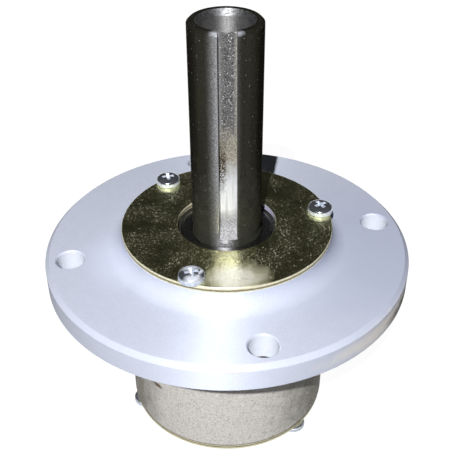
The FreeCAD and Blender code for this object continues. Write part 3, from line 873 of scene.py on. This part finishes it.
# Painted shade: a dark brown band low on the rim's right side, which faces away from the lamp.
painted_rim_shade = turned_aluminium.mark(
    (0.0570, -0.0370, 0.002), (0.018, 0.018, 0.0040), scale=260.0, ragged=1.0)
rim_scrape = turned_aluminium.mark(
    (-0.0120, -0.0669, 0.0080), (0.006, 0.0016, 0.0005), scale=1500.0)
turned_aluminium.feed("Base Color", turned_aluminium.layers(
    (0.54, 0.578, 0.70),
    (cloud, (0.575, 0.613, 0.735)),
    (fine, (0.615, 0.652, 0.765)),
    (painted_shade_right, (0.50, 0.537, 0.67)),
    (painted_light_left, (0.66, 0.70, 0.85)),
    (painted_rim_light, (0.84, 0.805, 0.785)),
    (painted_rim_shade, (0.17, 0.155, 0.125)),
    (nicks, (0.52, 0.52, 0.56)),
    (rim_scrape, (0.56, 0.52, 0.54))))
turned_aluminium.rough(rings, 0.6, 0.68)
turned_aluminium.bump((rings, 0.008 * MM), (nicks, -0.05 * MM))
turned_aluminium.brushed_round(0.85)
print("finish:", turned_aluminium.material.name)

# %% Cast aluminium
cast_aluminium = Finish("cast_hub_skin", {"Metallic": 0.15, "Specular IOR Level": 0.2})
skin = cast_aluminium.mask(grain_group, scale=1900.0, low=0.3, high=0.7)
lumps = cast_aluminium.mask(grain_group, squeeze=(1.0, 1.0, 0.5), scale=700.0, low=0.3, high=0.7)
pits = cast_aluminium.mask(specks_group, scale=1500.0, size=0.5, share=0.3)
# Painted shade: the hub's left and right sides are darkened, mottled by the skin grain.
painted_hub_shade = cast_aluminium.most(
    cast_aluminium.mark((0.0360, -0.0150, -0.046), (0.034, 0.034, 0.06), scale=260.0),
    cast_aluminium.mark((-0.0392, -0.0034, -0.046), (0.021, 0.021, 0.05), scale=260.0))
seam = cast_aluminium.mark((0.0, 0.0, HUB_BOTTOM), (1.0, 1.0, 0.0007), scale=900.0, ragged=0.6)
chip = cast_aluminium.mark((-0.0321, -0.0228, -0.0382), (0.0030, 0.0030, 0.0013), scale=1500.0)
darker_tone = cast_aluminium.blend(skin, (0.11, 0.10, 0.075), (0.31, 0.30, 0.25))
cast_aluminium.feed("Base Color", cast_aluminium.layers(
    (0.44, 0.42, 0.39),
    (skin, (0.70, 0.68, 0.66)),
    (painted_hub_shade, darker_tone),
    (pits, (0.36, 0.34, 0.30)),
    (seam, (0.10, 0.085, 0.055)),
    (chip, (0.10, 0.065, 0.035))))
cast_aluminium.rough(lumps, 0.5, 0.68)
cast_aluminium.bump((lumps, 0.07 * MM), (skin, 0.06 * MM), (pits, -0.06 * MM))
print("finish:", cast_aluminium.material.name)

# %% Drilled aluminium
drilled_aluminium = one_mask_finish(
    "drilled_aluminium", {"Metallic": 0.0, "Specular IOR Level": 0.2},
    grain_group, {"squeeze": (1.0, 1.0, 3.0), "scale": 900.0},
    colours=((0.60, 0.635, 0.71), (0.66, 0.69, 0.76)), rough=(0.5, 0.7), height=0.02 * MM)
print("finish:", drilled_aluminium.material.name)

# %% Paint the housing
DRILLED_WALL = 0.2


def paint(piece, finishes, choose):
    """Give a piece its finishes, and each face the one that choose picks by centre and normal."""
    for finish in finishes:
        piece.data.materials.append(finish.material)
    for face in piece.data.polygons:
        face.material_index = choose(face.center, face.normal)


def housing_finish(centre, normal):
    """Cast skin round the hub, drilled walls in the bolt holes, and turned metal elsewhere."""
    radius = centre.xy.length
    on_hub = radius > HUB_RADIUS - EDGE and HUB_BOTTOM + NEAR < centre.z < -NEAR
    by_bolts = abs(radius - BOLT_CIRCLE_RADIUS) < BOLT_RADIUS + NEAR and centre.z < FLANGE_TOP
    if on_hub:
        return 1
    if by_bolts and abs(normal.z) < DRILLED_WALL:
        return 2
    return 0


paint(housing, (turned_aluminium, cast_aluminium, drilled_aluminium), housing_finish)
print("cast faces:", sum(face.material_index == 1 for face in housing.data.polygons))

# %% [markdown]
# ## Yellow zinc plating
# The plates are zinc plated and dipped in a yellow passivate, which makes a dark olive mirror with gold
# flecks. Handling leaves fine scratches. A pale, less metallic spot on the upper plate, in front of the
# shaft, is a painted highlight. One colour all over would look like new brass, so the face mixes grains and
# specks of several sizes. The punched edge is rougher and paler, with a dark line where the shear broke
# through, so it is a finish of its own; a bluish patch on the wall of its hole is a painted reflection.

# %% Plate face
yellow_zinc = Finish("yellow_zinc_face", {})
cloud = yellow_zinc.mask(grain_group, scale=130.0, low=0.35, high=0.65)
fine = yellow_zinc.mask(grain_group, scale=1700.0, low=0.42, high=0.72)
dots = yellow_zinc.mask(specks_group, scale=2400.0, size=0.72, share=0.3)
patches = yellow_zinc.mask(grain_group, scale=95.0, low=0.34, high=0.68)
flakes = yellow_zinc.mask(specks_group, scale=1500.0, size=0.4, share=0.07)
scratches = yellow_zinc.mask(scratch_group, scale=110.0, low=0.69, high=0.78)
# Painted highlight: a pale, less metallic spot on the upper plate in front of the shaft.
painted_highlight_spot = yellow_zinc.mark((-0.0036, -0.0338, 0.0184), (0.0120, 0.0085, 0.01), scale=240.0, ragged=0.6)
haze = yellow_zinc.times(fine, patches)
spangle = yellow_zinc.most(yellow_zinc.times(dots, patches), flakes)
wear = yellow_zinc.most(spangle, yellow_zinc.times(scratches, patches))
yellow_zinc.feed("Base Color", yellow_zinc.layers(
    (0.52, 0.51, 0.26),
    (patches, (0.76, 0.74, 0.40)),
    (fine, (0.88, 0.86, 0.52)),
    (painted_highlight_spot, (0.80, 0.785, 0.66)),
    (wear, (0.78, 0.76, 0.60))))
plating = yellow_zinc.between(haze, 1.0, 0.94)
plating = yellow_zinc.between(painted_highlight_spot, plating, 0.38)
yellow_zinc.feed("Metallic", yellow_zinc.between(wear, plating, 0.68))
yellow_zinc.rough(wear, 0.28, 0.5)
yellow_zinc.bump((cloud, 0.16 * MM), (fine, 0.006 * MM), (spangle, 0.02 * MM))
print("finish:", yellow_zinc.material.name)

# %% Plate edge
SHEAR_HEIGHT = 0.9 * MM
PUNCHED_EDGE = 0.5

zinc_edge = Finish("yellow_zinc_edge", {"Metallic": 0.3})
edge_grain = zinc_edge.mask(grain_group, squeeze=(1.0, 1.0, 3.0), scale=900.0)
# Painted reflection: a bluish patch on the far right side of the plate's hole wall.
blue_side = zinc_edge.mark((0.0165, 0.008, 0.0172), (0.012, 0.012, 0.006), scale=300.0)
shear_line = zinc_edge.most(
    zinc_edge.mark((0.0, 0.0, BOSS_TOP + SHEAR_HEIGHT), (1.0, 1.0, 0.0005), scale=700.0),
    zinc_edge.mark((0.0, 0.0, HUB_BOTTOM - SHEAR_HEIGHT), (1.0, 1.0, 0.0005), scale=700.0))
zinc_edge.feed("Base Color", zinc_edge.layers(
    (0.62, 0.58, 0.40),
    (edge_grain, (0.80, 0.77, 0.58)),
    (shear_line, (0.20, 0.17, 0.09)),
    (blue_side, (0.58, 0.57, 0.74))))
zinc_edge.rough(edge_grain, 0.38, 0.55)
zinc_edge.bump((edge_grain, 0.04 * MM))


def plate_finish(centre, normal):
    return 1 if abs(normal.z) < PUNCHED_EDGE else 0


for plate in (upper_plate, lower_plate):
    paint(plate, (yellow_zinc, zinc_edge), plate_finish)
print("finish:", zinc_edge.material.name)

# %% [markdown]
# ## Bright zinc screws
# The screws have a bluish bright zinc. Shallow dents and scuffs from the driver break the reflections. Paler,
# less metallic patches on the front screw's head are partly scouring and partly a painted reflection. The
# recesses were struck and the sides of the heads never polished, so both get a duller finish. Each face is
# given its finish by where it lies, which needs no painted mask.

# %% Screw head finish
front_turn = min(UPPER_SCREW_ANGLES, key=math.sin)
front_axis = SCREW_CIRCLE_RADIUS * Vector((math.cos(front_turn), math.sin(front_turn)))

bright_zinc = Finish("bright_zinc", {})
cloud = bright_zinc.mask(grain_group, scale=500.0, low=0.35, high=0.65)
scuffs = bright_zinc.mask(scratch_group, scale=150.0, low=0.64, high=0.72)
# Partly scouring, partly painted reflection: paler, less metallic patches on the front screw's head.
scour_and_painted_reflection = bright_zinc.most(
    bright_zinc.mark((front_axis.x + 0.0003, front_axis.y + 0.0024, screw_high.z),
                     (0.0042, 0.0022, 0.004), scale=900.0, ragged=0.6),
    bright_zinc.mark((front_axis.x - 0.0002, front_axis.y - 0.0034, screw_high.z),
                     (0.0038, 0.0020, 0.004), scale=900.0, ragged=0.6))
bright_zinc.feed("Base Color", bright_zinc.layers(
    (0.58, 0.62, 0.72),
    (cloud, (0.76, 0.80, 0.88)),
    (scour_and_painted_reflection, (0.72, 0.77, 0.86)),
    (scuffs, (0.45, 0.46, 0.50))))
bright_zinc.feed("Metallic", bright_zinc.between(scour_and_painted_reflection, 0.95, 0.3))
bright_zinc.rough(scuffs, 0.16, 0.34)
bright_zinc.bump((cloud, 0.04 * MM))
print("finish:", bright_zinc.material.name)

# %% Screw recess finish
RECESS_SKIN = 0.05 * MM

struck_zinc = one_mask_finish(
    "struck_recess", {"Metallic": 0.3}, grain_group, {"scale": 1500.0, "low": 0.35, "high": 0.65},
    colours=((0.42, 0.46, 0.54), (0.62, 0.66, 0.74)), rough=(0.4, 0.6), height=0.03 * MM)


def screw_finish(seat, outward, angles):
    """A chooser that gives every face of the heads below the dome's skin the second finish."""
    axes = [SCREW_CIRCLE_RADIUS * Vector((math.cos(angle), math.sin(angle))) for angle in angles]

    def choose(centre, normal):
        off_axis = min((centre.xy - axis).length for axis in axes)
        height = outward * (centre.z - seat)
        return 1 if 0 < height < dome_height(off_axis) - RECESS_SKIN else 0

    return choose


paint(upper_screws, (bright_zinc, struck_zinc), screw_finish(plate_high.z, 1, UPPER_SCREW_ANGLES))
paint(lower_screws, (bright_zinc, struck_zinc),
      screw_finish(HUB_BOTTOM - PLATE_THICKNESS, -1, LOWER_SCREW_ANGLES))
print("finish:", struck_zinc.material.name)

# %% [markdown]
# ## Shaft steel
# The outside is ground and oiled, so it is dark and streaky with fine rings. A paler band on both sides of
# the keyway, strongest on its left, is a painted highlight, as are paler patches at the keyway's top corners,
# and the shaft's lower part is lightened by a painted reflection of the flange. The keyway is milled steel:
# dull above, with tarnish and some rust, and bright near its lower end, with painted light along its right
# wall. The bore is rough drawn tube with a turned chamfer at its mouth. These are four finishes and not one,
# because each tool leaves its own lines, and a mask could only tint them.

# %% Ground steel
ground_steel = Finish("ground_steel", {
    "Metallic": 0.5, "Specular IOR Level": 0.0, "Specular Tint": (0.2, 0.2, 0.18, 1.0)})
rings = ground_steel.mask(rings_group, scale=2200.0)
film = ground_steel.mask(grain_group, squeeze=(1.0, 1.0, 0.06), scale=320.0, low=0.35, high=0.65)
fine = ground_steel.mask(grain_group, scale=2600.0, low=0.35, high=0.65)
dust = ground_steel.mask(specks_group, scale=1500.0, size=0.3, share=0.12)
# Painted reflection: the shaft's lower part is lighter, standing for the flange reflected in it.
painted_flange_reflection = ground_steel.mark((0.0, 0.0, 0.006), (0.06, 0.06, 0.04), scale=300.0)
# Painted highlight: a paler band on both sides of the keyway, strongest on its left.
highlight_band_reach = ground_steel.mark((-0.0034, -0.0122, 0.056), (0.0059, 0.0059, 0.4), scale=900.0, ragged=0.2)
painted_highlight_band = ground_steel.times(highlight_band_reach, highlight_band_reach)
# Painted highlights: paler patches at the keyway's two top corners, on the outer chamfer.
corners = ground_steel.most(
    ground_steel.mark((-0.0055, -0.0112, shaft_high.z), (0.0024, 0.0024, 0.0012)),
    ground_steel.mark((0.0021, -0.0123, shaft_high.z), (0.0020, 0.0020, 0.0012)))
reflection_tone = ground_steel.blend(fine, (0.045, 0.045, 0.034), (0.075, 0.075, 0.062))
highlight_band_tone = ground_steel.blend(fine, (0.14, 0.14, 0.145), (0.35, 0.352, 0.362))
ground_steel.feed("Base Color", ground_steel.layers(
    (0.012, 0.011, 0.007),
    (film, (0.024, 0.022, 0.016)),
    (fine, (0.034, 0.032, 0.026)),
    (painted_flange_reflection, reflection_tone),
    (painted_highlight_band, highlight_band_tone),
    (corners, (0.40, 0.41, 0.45)),
    (dust, (0.24, 0.24, 0.25))))
ground_steel.rough(rings, 0.3, 0.4)
ground_steel.bump((rings, 0.006 * MM))
print("finish:", ground_steel.material.name)

# %% Milled keyway
KEYWAY_MIDDLE = (-0.0014, -0.0091)

milled_steel = Finish("milled_keyway", {"Metallic": 0.3})
film = milled_steel.mask(grain_group, squeeze=(1.0, 1.0, 0.7), scale=2300.0, low=0.4, high=0.6)
streaks = milled_steel.mask(grain_group, squeeze=(1.0, 1.0, 0.05), scale=1100.0, low=0.35, high=0.65)
glints = milled_steel.mask(specks_group, scale=2200.0, size=0.6, share=0.2)
blots = milled_steel.mask(grain_group, scale=2200.0, low=0.38, high=0.52)
tool_marks = milled_steel.mask(rings_group, scale=1400.0)
blue_side = milled_steel.mark((-0.0042, -0.0086, 0.080), (0.0011, 0.0011, 0.05), scale=1500.0, ragged=2.4)
# Painted light: a pale tan strip along the keyway's right wall, which faces the lamp.
painted_lit_wall = milled_steel.mark((0.0019, -0.0096, 0.075), (0.0012, 0.0012, 0.06), scale=1500.0, ragged=2.4)
tarnish = milled_steel.mark((*KEYWAY_MIDDLE, 0.050), (0.03, 0.03, 0.013), scale=350.0)
clean = milled_steel.mark((*KEYWAY_MIDDLE, 0.036), (0.03, 0.03, 0.014), scale=350.0, ragged=0.5)
end = milled_steel.mark((*KEYWAY_MIDDLE, 0.020), (0.03, 0.03, 0.009), scale=900.0, ragged=0.5)
rusted = milled_steel.mark((-0.0036, -0.0087, 0.048), (0.0026, 0.0026, 0.011), scale=700.0)
rust = milled_steel.times(rusted, blots)
darker_tone = milled_steel.blend(film, (0.15, 0.14, 0.115), (0.34, 0.32, 0.265))
bare = milled_steel.blend(streaks, (0.46, 0.47, 0.50), (0.64, 0.65, 0.68))
mottled = milled_steel.blend(film, (0.24, 0.24, 0.25), (0.44, 0.44, 0.46))
milled_steel.feed("Base Color", milled_steel.layers(
    (0.022, 0.022, 0.026),
    (streaks, (0.060, 0.059, 0.058)),
    (blue_side, (0.22, 0.222, 0.235)),
    (painted_lit_wall, (0.34, 0.325, 0.285)),
    (film, (0.145, 0.143, 0.14)),
    (glints, (0.46, 0.46, 0.48)),
    (tarnish, darker_tone),
    (clean, bare),
    (end, mottled),
    (rust, (0.05, 0.035, 0.02))))
milled_steel.rough(milled_steel.most(rust, end), 0.48, 0.85)
milled_steel.bump((tool_marks, 0.012 * MM), (rust, 0.03 * MM))
print("finish:", milled_steel.material.name)

# %% Bore and its mouth
drawn_bore = one_mask_finish(
    "drawn_bore", {"Metallic": 1.0}, grain_group, {"scale": 2600.0},
    colours=((0.21, 0.208, 0.206), (0.42, 0.417, 0.418)), rough=(0.6, 0.68), height=0.02 * MM)
drawn_bore.brushed_round(0.65)

bright_chamfer = Finish("bright_chamfer", {"Metallic": 1.0})
rings = bright_chamfer.mask(rings_group, scale=2600.0)
grime = bright_chamfer.mask(grain_group, scale=1500.0, low=0.45, high=0.75)
bright_chamfer.feed("Base Color", bright_chamfer.layers(
    (0.38, 0.385, 0.40),
    (rings, (0.54, 0.545, 0.57)),
    (grime, (0.10, 0.098, 0.09))))
bright_chamfer.rough(rings, 0.6, 0.68)
bright_chamfer.bump((rings, 0.01 * MM))
bright_chamfer.brushed_round(0.7)
print("finishes:", drawn_bore.material.name, bright_chamfer.material.name)

# %% Paint the shaft
keyway_out = Vector((math.cos(KEYWAY_ANGLE), math.sin(KEYWAY_ANGLE), 0))
keyway_side = Vector((-keyway_out.y, keyway_out.x, 0))


def shaft_finish(centre, normal):
    """Milled steel in the keyway, then the bore and its mouth, and ground steel elsewhere."""
    radius = centre.xy.length
    in_keyway = (abs(centre.dot(keyway_side)) < KEYWAY_HALF + NEAR and radius < SHAFT_RADIUS - NEAR
                 and centre.dot(keyway_out) > KEYWAY_FLOOR - NEAR and centre.z > RELIEF_TOP)
    if in_keyway:
        return 1
    if radius < BORE_RADIUS + NEAR:
        return 2
    if radius < BORE_RADIUS + MOUTH_CHAMFER and centre.z > shaft_high.z - MOUTH_CHAMFER:
        return 3
    return 0


paint(shaft, (ground_steel, milled_steel, drawn_bore, bright_chamfer), shaft_finish)
print("shaft finishes:", [material.name for material in shaft.data.materials])

# %% [markdown]
# ## Bearing steel, rubber and cage plastic
# The bearings are mostly hidden. The pieces that came with the frame keep their shapes, and get the same
# procedural finishes as the ones drawn here: ground steel, black rubber and pale moulded plastic. The
# record says which slot each node belongs to, so a loop over it dresses them all.

# %% Bearing finishes
bearing_steel = one_mask_finish(
    "bearing_steel", {"Metallic": 1.0}, rings_group, {"scale": 3000.0},
    colours=((0.36, 0.36, 0.36), (0.48, 0.48, 0.48)), rough=(0.18, 0.3), height=0.005 * MM)

seal_rubber = Finish("seal_rubber", {"Specular IOR Level": 0.2})
dust = seal_rubber.mask(specks_group, scale=500.0, size=0.25, share=0.15)
film = seal_rubber.mask(grain_group, scale=400.0)
seal_rubber.feed("Base Color", seal_rubber.layers(
    (0.016, 0.016, 0.014),
    (film, (0.036, 0.036, 0.034)),
    (dust, (0.30, 0.30, 0.31))))
seal_rubber.rough(film, 0.32, 0.5)
seal_rubber.bump((film, 0.02 * MM))

cage_plastic = Finish("cage_plastic", {"Metallic": 0.0})
film = cage_plastic.mask(grain_group, scale=600.0)
cage_plastic.feed("Base Color", cage_plastic.blend(film, (0.46, 0.42, 0.32), (0.56, 0.52, 0.42)))
cage_plastic.rough(film, 0.4, 0.55)
print("finishes:", bearing_steel.material.name, seal_rubber.material.name, cage_plastic.material.name)

# %% Dress the bearings
for ring in (upper_ring, lower_ring):
    ring.data.materials.append(bearing_steel.material)
for seal in (upper_seal, lower_seal):
    seal.data.materials.append(seal_rubber.material)

finish_of_slot = {"bearing_steel": bearing_steel, "seal_rubber": seal_rubber, "cage_plastic": cage_plastic}
dressed = 0
for subpart in frame["record"]["subparts"]:
    finish = finish_of_slot.get(subpart["material_slot"])
    if finish is not None:
        node = frame["nodes"][subpart["node"]]
        for slot in node.material_slots:
            slot.material = finish.material
        dressed += 1
print("bearing nodes dressed:", dressed)

# %% [markdown]
# ## Floor
# The part stands on plain white. A white floor under a strong lamp would throw light back at the part, so
# the floor is a matt grey that only the camera and reflections see as white, and it still takes the part's
# shadow.

# %% Floor
FLOOR_SIZE = 3.0
FLOOR_GLOW = 0.96
FLOOR_GREY = (0.1, 0.1, 0.1, 1.0)

half = FLOOR_SIZE / 2
sheet = [(-half, -half, 0), (half, -half, 0), (half, half, 0), (-half, half, 0)]
floor = piece_from("floor", sheet, [(0, 1, 2, 3)])
floor.location.z = cad_box[0][2]

paper = bpy.data.materials.new("white_paper")
paper.use_nodes = True
tree = paper.node_tree
tree.nodes.clear()
rays = add(tree, "ShaderNodeLightPath").outputs
seen = maths(tree, "MAXIMUM", rays["Is Camera Ray"],
             maths(tree, "MAXIMUM", rays["Is Glossy Ray"], rays["Is Transmission Ray"]))
matt = add(tree, "ShaderNodeBsdfDiffuse", {"Color": FLOOR_GREY})
glow = add(tree, "ShaderNodeEmission", {"Strength": maths(tree, "MULTIPLY", seen, FLOOR_GLOW)})
both = add(tree, "ShaderNodeAddShader", {0: matt.outputs[0], 1: glow.outputs[0]})
add(tree, "ShaderNodeOutputMaterial", {"Surface": both.outputs[0]})
floor.data.materials.append(paper)
print("floor at height", round(floor.location.z, 4))

# %% [markdown]
# ## The room
# The backdrop is white for the camera. Polished metal sees a white horizon under a dark ceiling, which
# gives its reflections contrast, and the rest of the part gets only a weak even light. One world shader
# does all of it: the Light Path node tells the camera's rays from those of reflections.

# %% World
AMBIENT = 0.010
CEILING = 0.0185
HORIZON = 0.8
WHITE_BELOW = 0.0
DARK_ABOVE = 0.1

world = bpy.data.worlds.new("studio")
bpy.context.scene.world = world
world.use_nodes = True
tree = world.node_tree
tree.nodes.clear()
rays = add(tree, "ShaderNodeLightPath").outputs
look = add(tree, "ShaderNodeTexCoord").outputs["Generated"]
height = add(tree, "ShaderNodeSeparateXYZ", {"Vector": look}).outputs["Z"]
mirrored = add(tree, "ShaderNodeMapRange", {
    "Value": height, "From Min": WHITE_BELOW, "From Max": DARK_ABOVE,
    "To Min": HORIZON, "To Max": CEILING}).outputs["Result"]
polished = maths(tree, "MAXIMUM", rays["Is Glossy Ray"], rays["Is Transmission Ray"])
level = add(tree, "ShaderNodeMix", {"Factor": polished, NUMBER_A: AMBIENT, NUMBER_B: mirrored}).outputs[0]
level = add(tree, "ShaderNodeMix",
            {"Factor": rays["Is Camera Ray"], NUMBER_A: level, NUMBER_B: 1.0}).outputs[0]
sky = add(tree, "ShaderNodeBackground", {"Color": (1.0, 1.0, 1.0, 1.0), "Strength": level})
add(tree, "ShaderNodeOutputWorld", {"Surface": sky.outputs[0]})
bpy.context.scene.view_settings.view_transform = "Standard"
print("world ambient", AMBIENT)

# %% [markdown]
# ## Lamps
# One small lamp stands behind the camera, a little to its left and higher, so shadows are short and fall to
# the back and right. A small lamp is used because the photograph's shadows have clear edges. A wide weak
# lamp behind the part lifts its dark side, and is kept out of reflections, where it would show as a disc.

# %% Lamps
LOOK_AT = Vector((0, 0, FLANGE_TOP))


def lamp(name, azimuth, elevation, distance, size, watts):
    """A round lamp, aimed at the middle of the flange; azimuth is counted from +X."""
    light = bpy.data.lights.new(name, "AREA")
    light.shape = "DISK"
    light.size = size
    light.energy = watts
    holder = new_object(name, light)
    turn, rise = math.radians(azimuth), math.radians(elevation)
    way = Vector((math.cos(turn) * math.cos(rise), math.sin(turn) * math.cos(rise), math.sin(rise)))
    holder.location = LOOK_AT + way * distance
    holder.rotation_euler = way.to_track_quat("Z", "Y").to_euler()
    return holder


key = lamp("key_lamp", azimuth=-109.1, elevation=44.0, distance=0.8, size=0.0137, watts=10.4)
fill = lamp("fill_lamp", azimuth=79.0, elevation=-2.0, distance=0.7, size=0.3, watts=2.0)
fill.visible_glossy = False
print("lamps at", [[round(value, 3) for value in holder.location] for holder in (key, fill)])

# %% [markdown]
# ## Camera
# The camera was fitted to the circles in the photograph: it stands about 0.31 m from the flange, 36 degrees
# above it, and sees a square picture. A tiny roll levels the flange as the photograph has it.

# %% Camera
CAMERA_PLACE = Vector((-0.0484, -0.2422, 0.1899))
CAMERA_FORWARD = Vector((0.16084, 0.80080, -0.57692))
CAMERA_UP = Vector((0.11946, 0.56443, 0.81679))
LENS = 63.79
SENSOR = 36.0

camera_data = bpy.data.cameras.new("camera")
camera_data.lens = LENS
camera_data.sensor_width = SENSOR
camera = new_object("camera", camera_data)
across = CAMERA_FORWARD.cross(CAMERA_UP).normalized()
above = across.cross(CAMERA_FORWARD).normalized()
turn = Matrix((across, above, -CAMERA_FORWARD.normalized())).transposed()
camera.matrix_world = Matrix.Translation(CAMERA_PLACE) @ turn.to_4x4()
bpy.context.scene.camera = camera
print("camera at", [round(value, 4) for value in CAMERA_PLACE])
